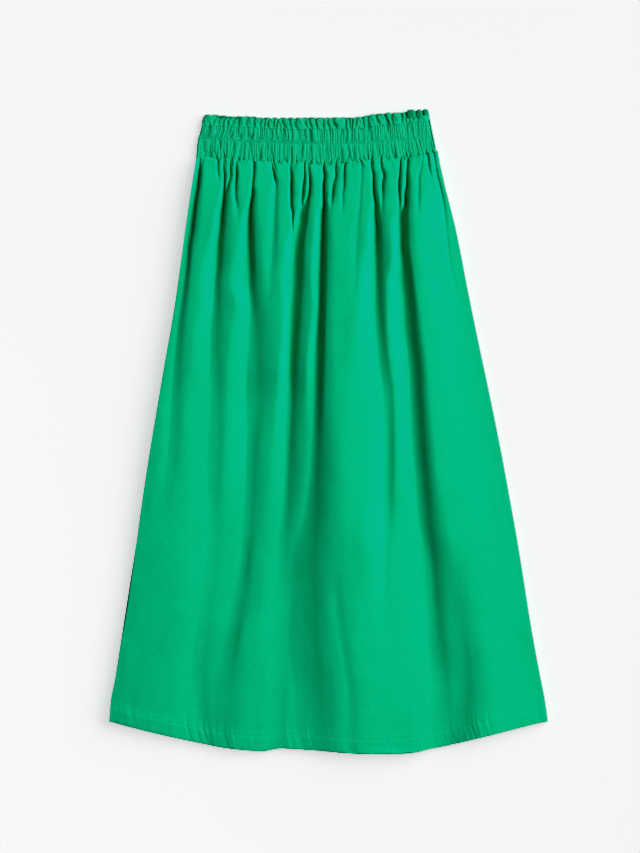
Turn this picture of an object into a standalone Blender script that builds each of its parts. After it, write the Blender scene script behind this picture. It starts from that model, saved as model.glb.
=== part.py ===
"""A-line skirt with an elasticated paper-bag waist, laid flat with its front up.

The skirt lies on the XY plane, waist towards +Y, front towards +Z. A front and a back
panel are gathered into a waistband of two elastic channels. The waistband's folded
upper edge stands past its top stitching as a frill. Each is a half, front and back,
and the halves meet at the side seams. Lengths are in millimetres until a mesh is made.
"""

import bmesh
import bpy
import numpy as np

MM = 0.001  # metres in a millimetre

# Cloth and seams
WALL = 1.2  # one layer of cloth, as built
FRILL_WALL = 1.6  # the waistband's cloth folded double, measured upright
CHANNEL_WALL = 2.4  # the waistband's cloth round its elastic
SEAM_GAP = 0.3  # left between pieces that are sewn together

# Levels above the surface the skirt lies on
FRONT_UNDER = WALL + SEAM_GAP  # lowest underside of the front panel
VALLEY_FLOOR = 3.2  # outer face of the front panel at the bottom of a deep fold
FRONT_BAND_UNDER = CHANNEL_WALL + SEAM_GAP
FRONT_FRILL_FOOT = FRONT_BAND_UNDER + 0.4

# Counts of what repeats
PANEL_COLUMNS = 78
PANEL_ROWS = 17
BACK_COLUMNS = 18
BACK_ROWS = 9
BAND_PLEATS = 62
FRILL_WAVES = 36
COLUMNS_PER_PLEAT = 4
COLUMNS_PER_WAVE = 6

# Heights of what is raised
CHANNEL_BULGE = 1.0  # elastic channel above its stitch lines
PLEAT_RISE = (0.5, 1.7)  # on a stitch line, and half way between two
FRILL_SWING = (0.35, 1.45)  # of the wave, at the stitching and at the free edge
BACK_FRILL_RISE = 1.2
HEM_DEPTH = 21.0  # of the turned-up hem
HEM_STEP = 0.5  # raised by the turned-up layer
PANEL_LENGTH = 790.0  # from the waist seam to the hem's edge, about the middle
HEM_DOWN = 1 - HEM_DEPTH / PANEL_LENGTH  # share of the way down to the hem's stitching
EDGE_ROLL = (10.0, 6.5)  # radius of the rolled side edge, left and right
EDGE_DROP = 0.8  # of the outer face at a side edge, below the floor of the folds


def table(names, *rows):
    """Named columns, one row for each section, seam station or fold."""
    return dict(zip(names.split(), zip(*rows)))


# The panels' side edges and the height of the lay, from the waist seam (0) to the hem (1).
SIDES = table(
    "down left right lay",
    (0.00, -177.5, 146.5, 6.8),
    (0.05, -183.6, 155.5, 12.0),
    (0.10, -189.3, 165.4, 13.6),
    (0.20, -199.8, 180.8, 13.6),
    (0.35, -217.2, 204.5, 11.8),
    (0.50, -236.7, 229.0, 9.8),
    (0.65, -254.3, 249.8, 8.0),
    (0.80, -270.0, 268.4, 6.8),
    (0.90, -283.1, 281.6, 6.0),
    (0.97, -293.0, 291.8, 5.4),
    (1.00, -295.0, 295.0, 5.2),
)

# Heights on the page of the waistband's lines and ends, at stations across it.
WAIST = table(
    "across free_edge top_stitch mid_stitch seam",
    (0.00, 425.9, 413.1, 396.9, 369.9),
    (0.17, 423.2, 411.8, 392.9, 365.9),
    (0.34, 421.2, 408.4, 390.8, 363.2),
    (0.51, 421.6, 407.7, 388.8, 360.5),
    (0.68, 422.6, 409.1, 389.5, 364.5),
    (0.86, 428.6, 414.5, 392.9, 368.6),
    (1.00, 431.0, 420.0, 398.3, 377.0),
)
WAIST_ENDS = table(
    "line left right",
    (0, -168.1, 134.3),
    (1, -171.5, 136.4),
    (2, -173.5, 141.8),
    (3, -177.5, 146.5),
)
WAIST_LINES = ("free_edge", "top_stitch", "mid_stitch", "seam")

# The hem's edge, at stations across it.
HEM = table(
    "across edge lift",
    (0.00, -391.0, 1.00),
    (0.07, -403.7, 1.05),
    (0.16, -417.8, 1.15),
    (0.25, -428.0, 1.10),
    (0.36, -430.7, 0.80),
    (0.52, -432.6, 0.65),
    (0.60, -434.4, 0.65),
    (0.67, -432.7, 0.75),
    (0.76, -425.3, 1.05),
    (0.85, -413.1, 1.15),
    (0.94, -398.3, 1.00),
    (1.00, -390.6, 0.90),
)

# Folds that spring from the gathers. Each runs down from the waist seam through four
# evenly spaced places across the page. Depth is a share of the lay.
FOLDS = table(
    "x0 x1 x2 x3 run width_top width_end depth_top depth_end",
    (-172.1, -189.7, -199.1, -204.5, 418, 5.0, 16.0, 0.80, 0.10),
    (-149.2, -149.2, -149.2, -149.2, 40, 3.6, 5.0, 0.50, 0.00),
    (-139.0, -149.2, -151.9, -149.2, 715, 5.0, 24.0, 0.85, 0.20),
    (-130.3, -134.3, -139.7, -143.1, 74, 4.0, 5.0, 0.60, 0.10),
    (-122.2, -123.5, -124.9, -124.9, 81, 4.0, 6.0, 0.60, 0.00),
    (-97.9, -94.8, -98.6, -139.7, 715, 5.0, 22.0, 0.80, 0.25),
    (-73.6, -72.2, -68.2, -66.8, 135, 4.0, 8.0, 0.60, 0.00),
    (-50.6, -50.6, -50.0, -49.3, 105, 5.0, 4.0, 0.75, 0.10),
    (-31.7, -34.4, -38.5, -35.8, 108, 4.0, 5.0, 0.60, 0.10),
    (-25.0, -41.9, -50.6, -50.6, 756, 5.0, 20.0, 0.85, 0.15),
    (-6.1, -10.1, -19.6, -0.7, 790, 6.0, 16.0, 0.95, 0.30),
    (11.5, 9.5, 4.7, 2.0, 78, 4.0, 6.0, 0.55, 0.00),
    (26.3, 22.3, 20.3, 18.2, 61, 4.0, 5.0, 0.60, 0.00),
    (43.9, 45.2, 38.5, 35.8, 230, 4.0, 12.0, 0.60, 0.10),
    (57.4, 73.6, 88.4, 83.0, 594, 5.0, 16.0, 0.85, 0.10),
    (70.9, 74.9, 74.9, 79.0, 230, 4.0, 10.0, 0.60, 0.10),
    (96.5, 93.8, 95.2, 99.2, 115, 4.0, 5.0, 0.65, 0.10),
    (110.0, 117.5, 138.4, 177.5, 756, 5.0, 26.0, 0.90, 0.25),
    (122.2, 122.2, 120.8, 122.2, 81, 4.0, 6.0, 0.50, 0.00),
    (134.3, 136.0, 137.3, 138.0, 40, 3.5, 4.0, 0.60, 0.00),
    (142.4, 154.6, 164.0, 176.0, 189, 4.0, 10.0, 0.70, 0.10),
)


def read(rows, column, at):
    """A column of a table, read along the table's first column by a smooth curve."""
    stations = np.array(next(iter(rows.values())), float)
    values = np.array(rows[column], float)
    slopes = np.gradient(values, stations)
    at = np.asarray(at, float)
    low = np.clip(np.searchsorted(stations, at) - 1, 0, len(stations) - 2)
    span = stations[low + 1] - stations[low]
    t = (at - stations[low]) / span
    rise = values[low + 1] - values[low]
    start, end = slopes[low] * span, slopes[low + 1] * span
    return (
        values[low]
        + start * t
        + (3 * rise - 2 * start - end) * t**2
        + (start + end - 2 * rise) * t**3
    )


def blend(ends, share):
    """A value that runs straight from the first of two ends to the second."""
    return ends[0] + (ends[1] - ends[0]) * share


def uneven(count, per_item, wander, turn):
    """Columns at an even number per pleat or wave, on a pitch that wanders along the row."""
    phase = np.arange(count * per_item + 1) / per_item
    drift = wander * (np.sin(1.9 * phase + turn) + 0.6 * np.sin(0.73 * phase + 2 * turn))
    drift *= np.minimum(1.0, np.minimum(phase, count - phase))
    return phase, (phase + drift) / count


def waist_point(across, line):
    """Where a share of the way across meets a waistband line, counted from the frill's edge."""
    low = min(int(line), len(WAIST_LINES) - 2)
    lines = [read(WAIST, name, across) for name in WAIST_LINES[low : low + 2]]
    ends = [np.interp(line, WAIST_ENDS["line"], WAIST_ENDS[side]) for side in ("left", "right")]
    return blend(ends, across), blend(lines, line - low)


def panel_point(across, down):
    """Where a share of the way across a panel meets a share of the way down it."""
    ends = read(SIDES, "left", down), read(SIDES, "right", down)
    top = read(WAIST, "seam", across) - SEAM_GAP
    return blend(ends, across), blend((top, read(HEM, "edge", across)), down)


def fold_share(x, y, top):
    """How much of the lay is left at a point once every fold has taken its part."""
    left_over = np.ones_like(x)
    for row in zip(*FOLDS.values()):
        fold = dict(zip(FOLDS, row))
        stations = np.linspace(0, 1, 4)
        line = np.polyfit(stations, [fold[f"x{i}"] for i in range(4)], 3)
        along = (top - y) / fold["run"]
        inside = np.clip(along, 0, 1)
        width = blend((fold["width_top"], fold["width_end"]), inside)
        depth = blend((fold["depth_top"], fold["depth_end"]), inside)
        fade = np.clip((1 - along) * 6, 0, 1)
        away = (x - np.polyval(line, inside)) / width
        left_over *= 1 - depth * fade * np.exp(-(away**2))
    return left_over


def edge_roll(x, left, right):
    """Height share of the rolled side edges: a quarter ellipse up from each seam."""
    share = np.ones_like(x)
    for distance, radius in ((x - left, EDGE_ROLL[0]), (right - x, EDGE_ROLL[1])):
        away = np.clip(1 - distance / radius, 0, 1)
        share *= np.sqrt(1 - away**2)
    return share


def front_height(across, down, x, y):
    """Height of the front panel's outer face."""
    lay = read(SIDES, "lay", down) * blend((1, read(HEM, "lift", across)), down)
    share = fold_share(x, y, read(WAIST, "seam", across))
    height = VALLEY_FLOOR + (lay - VALLEY_FLOOR) * share
    height += HEM_STEP * (down > HEM_DOWN)
    rolled = edge_roll(x, read(SIDES, "left", down), read(SIDES, "right", down))
    return blend((VALLEY_FLOOR - EDGE_DROP, height), rolled)


def columns_across():
    """Shares across the front panel, closer together over the two rolled edges."""
    near_edge = np.array([0.0, 0.004, 0.011, 0.021])
    middle = np.linspace(0.033, 0.967, PANEL_COLUMNS)
    return np.concatenate([near_edge, middle, 1 - near_edge[::-1]])


def rows_down():
    """Shares down a panel, closer together below the gathers and at the hem's step."""
    body = np.linspace(0, 1, PANEL_ROWS) ** 1.5 * HEM_DOWN
    return np.concatenate([body, [HEM_DOWN + 0.003, 1.0]])


def add_object(name, mesh, material):
    mesh.materials.append(material)
    mesh.shade_smooth()
    piece = bpy.data.objects.new(name, mesh)
    bpy.data.collections["a_line_skirt"].objects.link(piece)
    piece.parent = bpy.data.objects["skirt"]
    return piece


def sheet(name, points, material):
    """A grid of outer points, rows down by columns across, given the cloth's wall inwards."""
    rows, columns = points.shape[:2]
    grid = bmesh.new()
    bmesh.ops.create_grid(grid, x_segments=columns - 1, y_segments=rows - 1, size=1)
    grid.verts.ensure_lookup_table()
    for vert in grid.verts:
        column = round((vert.co.x + 1) / 2 * (columns - 1))
        row = round((1 - vert.co.y) / 2 * (rows - 1))
        vert.co = points[row, column] * MM
    mesh = bpy.data.meshes.new(name)
    grid.to_mesh(mesh)
    grid.free()
    piece = add_object(name, mesh, material)
    wall = piece.modifiers.new("wall", "SOLIDIFY")
    wall.thickness = WALL * MM
    wall.offset = -1
    wall.use_even_offset = True
    wall.use_quality_normals = True
    return piece


def loft(name, sections, material):
    """A closed solid through like sections, each a ring of points, capped at both ends."""
    mesh = bpy.data.meshes.new(name)
    solid = bmesh.new()
    rings = [[solid.verts.new(point * MM) for point in ring] for ring in sections]
    for ring, following in zip(rings, rings[1:]):
        for i in range(len(ring)):
            j = (i + 1) % len(ring)
            solid.faces.new((ring[i], ring[j], following[j], following[i]))
    solid.faces.new(rings[0])
    solid.faces.new(rings[-1])
    bmesh.ops.recalc_face_normals(solid, faces=solid.faces)
    solid.to_mesh(mesh)
    solid.free()
    return add_object(name, mesh, material)


def front_panel(material):
    """The gathered front: folds run down from the waist seam and its side edges roll under."""
    shares = columns_across()
    across, down = np.meshgrid(shares, rows_down())
    x, y = panel_point(across, down)
    z = front_height(across, down, x, y)
    points = np.stack([x, y, z], axis=-1)
    feet = points[:, [0, -1]].copy()
    feet[..., 2] = FRONT_UNDER
    return sheet(
        "front_panel",
        np.concatenate([feet[:, :1], points, feet[:, 1:]], axis=1),
        material,
    )


def back_panel(material):
    """The back lies flat, with its hem's turned-up layer inside the wall's thickness."""
    across, down = np.meshgrid(
        np.linspace(0, 1, BACK_COLUMNS + 1), np.linspace(0, 1, BACK_ROWS + 1)
    )
    x, y = panel_point(across, down)
    z = np.full_like(x, WALL)
    return sheet("back_panel", np.stack([x, y, z], axis=-1), material)


def band_section(across, phase, under, bulge, rise):
    """A waistband section: outer points from the top stitching to the seam, over a plain inside."""
    ring = []
    for line in (1, 1.5, 2, 2.5, 3):
        x, y = waist_point(across, line)
        between = line % 1 * 2
        inset = SEAM_GAP * (line == 1)
        pleat = blend(rise, between) * (1 - np.cos(2 * np.pi * phase)) / 2
        ring.append((x, y - inset, under + CHANNEL_WALL + bulge * between + pleat))
    for line in (3, 1):
        x, y = waist_point(across, line)
        ring.append((x, y - SEAM_GAP * (line == 1), under))
    return np.array(ring)


def front_waistband(material):
    """Two elastic channels between three stitch lines, pleated by the elastic."""
    phases, shares = uneven(BAND_PLEATS, COLUMNS_PER_PLEAT, 0.13, 0.8)
    sections = [
        band_section(share, phase, FRONT_BAND_UNDER, CHANNEL_BULGE, PLEAT_RISE)
        for phase, share in zip(phases, shares)
    ]
    return loft("front_waistband", sections, material)


def back_waistband(material):
    """The band's back half rests flat, so it is plain on both faces."""
    shares = np.linspace(0, 1, BACK_COLUMNS + 1)
    sections = [band_section(share, 0, 0, 0, (0, 0)) for share in shares]
    return loft("back_waistband", sections, material)


def frill_section(across, lows, highs):
    """A frill section from the top stitching to the free edge, between given levels."""
    base_x, base_y = waist_point(across, 1)
    edge_x, edge_y = waist_point(across, 0)
    return np.array(
        [
            (base_x, base_y, lows[0]),
            (base_x, base_y, highs[0]),
            (edge_x, edge_y, highs[1]),
            (edge_x, edge_y, lows[1]),
        ]
    )


def front_frill(material):
    """Ruffle waves that open from the stitching to the free edge."""
    phases, shares = uneven(FRILL_WAVES, COLUMNS_PER_WAVE, 0.16, 2.1)
    sections = []
    for phase, share in zip(phases, shares):
        wave = np.cos(2 * np.pi * phase)
        lows = [FRONT_FRILL_FOOT + swing * (1 + wave) for swing in FRILL_SWING]
        highs = [low + FRILL_WALL for low in lows]
        sections.append(frill_section(share, lows, highs))
    return loft("front_frill", sections, material)


def back_frill(material):
    """The back's frill, its waves raised over an underside that rests flat."""
    phases, shares = uneven(FRILL_WAVES, COLUMNS_PER_WAVE, 0.16, 4.4)
    sections = []
    for phase, share in zip(phases, shares):
        raised = FRILL_WALL + BACK_FRILL_RISE * (1 + np.cos(2 * np.pi * phase)) / 2
        sections.append(frill_section(share, (0, 0), (FRILL_WALL, raised)))
    return loft("back_frill", sections, material)


def cotton(name, colour):
    """Plain-weave cotton: matte, with a little sheen."""
    material = bpy.data.materials.new(name)
    material.use_nodes = True
    shader = material.node_tree.nodes["Principled BSDF"]
    shader.inputs["Base Color"].default_value = (*colour, 1)
    shader.inputs["Roughness"].default_value = 0.85
    shader.inputs["Metallic"].default_value = 0
    shader.inputs["Sheen Weight"].default_value = 0.15
    material.diffuse_color = (*colour, 1)
    return material


def clear_scene():
    for item in list(bpy.data.objects):
        bpy.data.objects.remove(item, do_unlink=True)


def main():
    clear_scene()
    collection = bpy.data.collections.new("a_line_skirt")
    bpy.context.scene.collection.children.link(collection)
    collection.objects.link(bpy.data.objects.new("skirt", None))
    panel_cotton = cotton("panel_cotton", (0.0, 0.42, 0.21))
    band_cotton = cotton("waistband_cotton", (0.0, 0.40, 0.20))
    frill_cotton = cotton("frill_cotton", (0.0, 0.38, 0.19))
    front_panel(panel_cotton)
    back_panel(panel_cotton)
    front_waistband(band_cotton)
    back_waistband(band_cotton)
    front_frill(frill_cotton)
    back_frill(frill_cotton)


main()
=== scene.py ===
"""Looks of the a-line skirt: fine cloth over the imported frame, laid flat and seen from above.

Lengths in the tables are millimetres on the surface the skirt lies on, x to the right and
y towards the waist, from the frame's origin. They become metres when a mesh is made. The
formulas' own numbers are millimetres too, or shares from 0 to 1.
"""

import math

import bpy
import numpy as np
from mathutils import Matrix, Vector


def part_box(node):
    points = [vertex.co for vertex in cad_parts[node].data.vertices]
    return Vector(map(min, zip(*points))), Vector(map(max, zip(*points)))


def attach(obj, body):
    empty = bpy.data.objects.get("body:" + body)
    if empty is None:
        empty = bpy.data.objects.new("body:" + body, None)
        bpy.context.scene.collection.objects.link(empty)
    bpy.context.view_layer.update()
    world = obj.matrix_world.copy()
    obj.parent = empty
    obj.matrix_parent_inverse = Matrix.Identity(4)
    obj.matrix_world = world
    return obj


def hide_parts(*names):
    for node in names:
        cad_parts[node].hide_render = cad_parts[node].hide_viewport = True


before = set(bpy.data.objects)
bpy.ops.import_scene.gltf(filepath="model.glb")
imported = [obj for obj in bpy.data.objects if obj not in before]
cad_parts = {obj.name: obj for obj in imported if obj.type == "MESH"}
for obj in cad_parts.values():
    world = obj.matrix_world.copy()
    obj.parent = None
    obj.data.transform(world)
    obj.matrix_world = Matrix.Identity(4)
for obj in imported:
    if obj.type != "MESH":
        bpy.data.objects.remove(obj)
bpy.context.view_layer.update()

MM = 0.001  # metres in a millimetre

# Levels, from the frame's own nodes where they set them.
BACK_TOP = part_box("back_panel")[1].z / MM
BAND_BACK_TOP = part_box("back_waistband")[1].z / MM
CLOTH = 0.7  # thickness of the cotton as drawn
PANEL_FLOOR = BACK_TOP + CLOTH + 0.5  # the front's outer face at the bottom of a fold
BAND_UNDER = BAND_BACK_TOP + 0.3
SEAM_GAP = 0.25  # between the back's pieces, where they meet at a seam
TUCK = 1.5  # how far the front panel runs up inside the waistband


# -------- tables and curves


def table(text):
    """Columns of numbers by name, from a line of names and a line for each station."""
    names, *rows = (line.split() for line in text.strip().splitlines())
    return dict(zip(names, np.array(rows, float).T))


def read(rows, column, at):
    """A column of a table, read along the table's first column by a smooth curve."""
    return smooth_curve(next(iter(rows.values())), rows[column], at)


def smooth_curve(stations, values, at):
    """A cubic through the stations that never overshoots its neighbours, held past the ends."""
    at = np.clip(np.asarray(at, float), stations[0], stations[-1])
    spans = np.diff(stations)
    rates = np.diff(values) / spans
    slopes = np.zeros(len(stations))
    same = rates[:-1] * rates[1:] > 0
    means = 2 * rates[:-1] * rates[1:] / np.where(same, rates[:-1] + rates[1:], 1)
    slopes[1:-1] = np.where(same, means, 0)
    slopes[0], slopes[-1] = rates[0], rates[-1]
    low = np.clip(np.searchsorted(stations, at, side="right") - 1, 0, len(spans) - 1)
    t = (at - stations[low]) / spans[low]
    start, end = slopes[low] * spans[low], slopes[low + 1] * spans[low]
    rise = values[low + 1] - values[low]
    return (
        values[low]
        + start * t
        + (3 * rise - 2 * start - end) * t**2
        + (start + end - 2 * rise) * t**3
    )


def blend(ends, share):
    return ends[0] + (ends[1] - ends[0]) * share


def ease(value):
    """A smooth step from 0 to 1 as value goes from 0 to 1."""
    t = np.clip(value, 0, 1)
    return t * t * (3 - 2 * t)


def running_total(steps, axis=0):
    """The sums of the steps so far, from 0 on."""
    return np.insert(np.cumsum(steps, axis), 0, 0, axis)


def hump(distance, width):
    """A smooth hump that is 1 where distance is zero and fades over a width."""
    return np.exp(-((distance / width) ** 2))


class Noise:
    """Smooth seeded noise between -1 and 1, over a plane. A fixed v reads one line of it."""

    size = 64

    def __init__(self, seed):
        self.grid = np.random.RandomState(seed).uniform(-1, 1, (self.size, self.size))

    def __call__(self, u, v):
        u, v = np.broadcast_arrays(np.asarray(u, float), np.asarray(v, float))
        left, low = np.floor(u).astype(int), np.floor(v).astype(int)
        across, up = ease(u - left), ease(v - low)
        corner = [
            [self.grid[(left + i) % self.size, (low + j) % self.size] for j in (0, 1)]
            for i in (0, 1)
        ]
        return blend((blend(corner[0], up), blend(corner[1], up)), across)


# -------- the outline

# The panels' side edges: x at heights y, from the waist seam down to the hem.
LEFT_EDGE = table("""
y x
-391.5 -295
-363 -292.7
-336 -287.3
-309 -282.4
-282 -278.2
-255 -272.8
-201 -264.7
-147 -257.5
-93 -250
-39 -241.7
15 -232.7
82 -221.3
163 -207.2
211 -200.2
278 -191
335 -182.7
366 -177.7
""")
RIGHT_EDGE = table("""
y x
-390.5 295
-363 291.2
-336 285.9
-309 280.7
-255 271.1
-201 262.6
-147 253.8
-93 244.1
-39 234.2
15 223.5
55 215.2
123 200.7
190 187
265 172.1
312 160.5
332 155.2
355 150.2
377 146.5
""")

# The hem's edge: y at shares of the way across.
HEM = table("""
across y
0 -391.5
0.07 -402.4
0.16 -415.2
0.25 -426.4
0.3 -430.2
0.35 -432.3
0.37 -430.5
0.39 -428.6
0.44 -430.2
0.52 -433.2
0.57 -435.2
0.62 -435.4
0.67 -434.4
0.71 -431.5
0.76 -426.3
0.85 -412.9
0.94 -399.8
0.98 -394.2
1 -392
""")

# The waistband's lines: y at shares of the way across, and the ends of each line.
WAIST = table("""
across free_edge top_stitch mid_stitch seam
0 425.9 413.1 396.9 369.9
0.09 424.2 412.3 395 368.2
0.17 423.2 411.6 392.9 365.9
0.34 421.2 408.4 390.8 363.2
0.51 421.6 407.7 388.8 360.5
0.6 421.8 407.9 388.6 361.5
0.68 422.6 409.1 389.5 364.5
0.77 427 413.1 391.3 367.2
0.86 428.6 415.2 393.6 368.9
1 429 420 398.3 377
""")
WAIST_LINES = tuple(WAIST)[1:]
WAIST_ENDS = table("""
line left right
0 -167 135
0.3 -170.4 136.2
1 -171.8 137.6
1.5 -172.6 139.4
2 -176.4 141.4
2.5 -178.2 143.6
3 -179.3 146.2
""")

# The waistband's lines by number, and its lower channel's depth from the middle line down.
TOP_LINE, MIDDLE_LINE, SEAM_LINE = 1, 2, 3
CHANNEL = 27


def waist_point(across, line):
    """Where a share of the way across meets a waistband line, counted from the frill's edge."""
    past = np.maximum(line - SEAM_LINE, 0)
    line = np.minimum(line, SEAM_LINE)
    heights = np.array([read(WAIST, name, across) for name in WAIST_LINES])
    low = np.clip(np.floor(line).astype(int), 0, len(WAIST_LINES) - 2)
    picked = np.take_along_axis(heights, low[None], 0)[0]
    following = np.take_along_axis(heights, low[None] + 1, 0)[0]
    ends = [read(WAIST_ENDS, side, line) for side in ("left", "right")]
    y = blend((picked, following), line - low) - CHANNEL * past
    return blend(ends, across), y


def panel_ends(down, outset):
    """The side edges' x at a share of the way down, a little outside the tables' edges."""
    edges = []
    for side, rows, sign in ((0, LEFT_EDGE, -1), (1, RIGHT_EDGE, 1)):
        y = blend((read(WAIST, "seam", side), read(HEM, "y", side)), down)
        edges.append(read(rows, "x", y) + sign * outset)
    return edges


# -------- folds

# Each fold is a step up to the right. x is its steepest line: `toe` before it the cloth is at
# the foot, and `right` after it on the crest. Left of the foot it comes down over `left`.
# `step` is how much lower the cloth stays on the left, and `core` the share of the depth
# that is in the core crease.
FOLDS = {}


def fold(name, rows, extra=""):
    """Keeps a fold's table, whose rows run from the waist down and may have an extra column."""
    FOLDS[name] = table("y x toe right left depth " + extra + rows)


fold("side_left", extra="step", rows="""
370 -172.5 0.5 6 4 2.2 1
355 -173 0.8 7 5 6.5 4
344 -173.7 0.8 8 5 10.3 7
332 -174.7 1 8 5 11 8
305 -178.9 1 11 5 11 8.8
271 -182.5 1.5 13 10 10.4 8.4
251 -186 2 15 10 8.8 7.4
228 -187.8 3 17 11 6.4 5.2
204 -189.8 4 20 13 4.3 3.2
136 -197.5 6 26 11 3 1.6
42 -202 10 30 14 2.6 1
-12 -203 12 30 16 2.1 0.5
-66 -209 12 28 14 1.3 0
-110 -213 12 28 14 0 0
""")
fold("left_nick", """
368 -149 0.5 4 3 2.9
352 -149 0.5 4 3 3.2
336 -146.7 0.5 4 3 0
""")
fold("left_front", extra="step", rows="""
368 -141 0.5 5 4 3.6 0
355 -141 0.5 5 4 5.4 0
344 -139.7 0.8 6 4 6 0
332 -139.7 1 9 5 7.5 0
319 -139.7 1.5 13 6 13 0
292 -141.5 2 15 10 14.3 0
271 -143.5 2 19 11 12.9 0
251 -146 2.5 24 13 12 0
228 -146.8 4 26 17 10.5 0
204 -148.8 5 28 20 7.5 0
170 -148 8 30 18 6.5 0
136 -149 10 32 22 5.8 0
89 -148 12 32 26 5.1 0
42 -146 14 32 34 4.4 0
-66 -146 18 26 36 3.1 0.8
-120 -148 12 40 30 3.6 2.4
-174 -151 14 40 30 3.4 2.4
-228 -156 18 30 26 2.4 1.9
-282 -163 18 34 22 3.5 2.8
-323 -168 18 38 20 3.9 3.2
-363 -166 12 42 30 3.9 3.4
-424 -159 16 42 30 4.6 4
""")
fold("left_branch", """
368 -132 0.5 4 3 3.6
355 -132 0.5 5 3 6.5
344 -131.7 0.5 6 3 5.8
332 -134.7 0.5 6 4 5.1
316 -137.7 0.5 6 4 0
""")
fold("left_spur", """
368 -123 0.5 4 3 3.6
355 -124 0.5 5 3 5.4
344 -123.7 0.5 5 3 9.5
332 -124.7 0.5 7 4 7.6
319 -124.7 1 8 5 4.2
305 -122.7 1 10 5 2.5
285 -119.7 1 10 5 0
""")
fold("mid_left", extra="step", rows="""
368 -100 0.5 5 3 4.3 0
344 -100.7 0.5 6 4 6.9 0
332 -101.7 0.5 6 4 6.5 0
319 -101.7 1 8 5 11.5 0
305 -103.7 1.2 11 6 13.2 0
292 -104.2 1.5 13 10 14 0
271 -103.4 3 16 13 14.5 0
251 -103.2 3.5 19 14 14 0
228 -102.8 3.5 22 20 13 0
204 -102.8 5 28 25 11 0
170 -99 7 32 18 8.2 0
136 -95 12 36 24 7.5 0
42 -90 22 36 26 7.1 0
-12 -97 14 32 26 6.8 1
-120 -103 12 38 40 6.6 3.8
-174 -107 12 30 44 6.8 4.8
-228 -114 16 34 46 6.8 5.4
-282 -122 18 26 46 6 5.4
-323 -129 20 34 50 5.2 4.6
-363 -133 20 36 50 3.8 3.4
-424 -136 16 36 30 1.9 1.8
""")
fold("left_soft", """
368 -77 0.5 4 3 2.9
355 -75 0.5 5 3 5
344 -72.7 0.5 5 3 9
332 -70.7 0.8 14 5 3.6
319 -70.2 2 15 8 2.5
292 -69.6 5 14 10 2.2
271 -69.2 6 14 11 2.2
251 -70.2 6 16 12 2.1
228 -72 6 20 12 1.7
190 -74 6 22 12 0.8
160 -75 6 22 12 0
""")
fold("spindle", """
368 -51 0.5 4 3 4.3
355 -51 0.5 5 3 5
344 -49.7 0.5 6 4 9.9
332 -49.7 0.8 7 4 12
319 -49.7 0.8 8 4 11
305 -49.7 0.8 7 4 8.5
292 -47.7 0.8 6 4 6
271 -47.7 0.8 5 4 3
258 -48.2 1 5 4 0
""")
fold("mid_spur", """
372 -33 0.5 4 3 2.2
344 -32.2 0.5 5 3 6
332 -33 0.8 6 4 8
319 -34 0.8 7 5 8
305 -35 1 8 5 5
292 -35.4 1.5 9 6 2.5
278 -34.7 1.5 10 7 0
""")
fold("mid_front", extra="step", rows="""
368 -27 0.5 4 3 2.9 0
355 -26.4 0.5 4 3 3.6 0
344 -25.2 0.5 6 3 6.5 0
332 -24.7 0.5 7 4 10.5 0
319 -25.7 0.8 8 4 10 0
305 -27.7 3.5 11 5 9 0
292 -29.5 7 14 8 11.5 0
278 -31.5 7 17 11 12.5 0
251 -36 7 20 15 14.5 0
228 -37.3 8 22 15 15.5 0
204 -38.3 8 25 17 15.5 0
170 -41 8 26 12 15.5 0
136 -43 7 26 12 15 0
89 -46.8 5.5 28 14 14.5 0
42 -49.6 4.5 33 16 12.6 4
-12 -52 4.5 33 18 10.2 4.8
-66 -53.2 6 38 22 9.2 5.4
-120 -54.2 10 44 28 8 6.4
-174 -55.6 14 44 30 5.4 5.2
-282 -56 16 36 30 3.2 3.2
-428 -62 20 30 30 3.2 3.2
""")
fold("centre", extra="step", rows="""
370 -6 0.5 4 3 4.3 0
355 -6 0.8 6 4 6.3 0
344 -4.7 0.8 7 4 9.9 0
332 -5.7 1 7 5 13 0
319 -5.7 1 8 5 14 0
305 -4.7 1.5 9 6 15 0
292 -5.5 2 16 10 16 0
271 -5.5 2.5 15 11 16.5 0
204 -6.8 3.5 18 13 16.5 1.5
170 -7.5 4 18 9 16.5 2
136 -8.5 5 19 10 16.5 2.5
89 -10 6 23 13 16 4
42 -11 8 26 13 13.2 9
-12 -13 9 32 10 12 10.8
-66 -14 12 36 12 12.4 11
-120 -16 18 42 14 12.4 10.8
-174 -19 30 48 30 12 10
-228 -17 34 46 34 12 9
-282 -16 38 48 40 11.4 8
-363 -8 36 50 44 10.5 7
-430 -6 40 54 44 9 6
""")
fold("centre_soft", """
370 11 0.5 4 3 3.6
355 10 0.5 6 4 5
344 10.3 0.5 8 4 6.6
332 7.3 0.8 9 5 7.5
319 6.3 1 9 5 8
305 4.3 1 9 5 1.2
292 3.3 1 9 5 0
""")
fold("right_spur", """
374 24 0.3 3 3 2.9
355 22 0.5 4 3 5.8
344 21.3 0.5 6 3 6.5
332 21.3 0.5 7 4 5
319 19.3 0.5 7 4 2.6
305 19.3 0.5 6 4 1.5
290 19.3 0.5 6 4 0
""")
fold("right_light", """
370 44.5 0.5 4 3 2.9
355 44.5 0.5 5 3 1.7
344 45 0.5 7 4 1.5
332 44.2 1 10 5 1.4
305 43.2 2 12 8 1.2
271 41.2 4 14 9 1
228 40.2 5 16 9 0.7
180 40 5 16 9 0.2
150 40 5 16 9 0
""")
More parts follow.
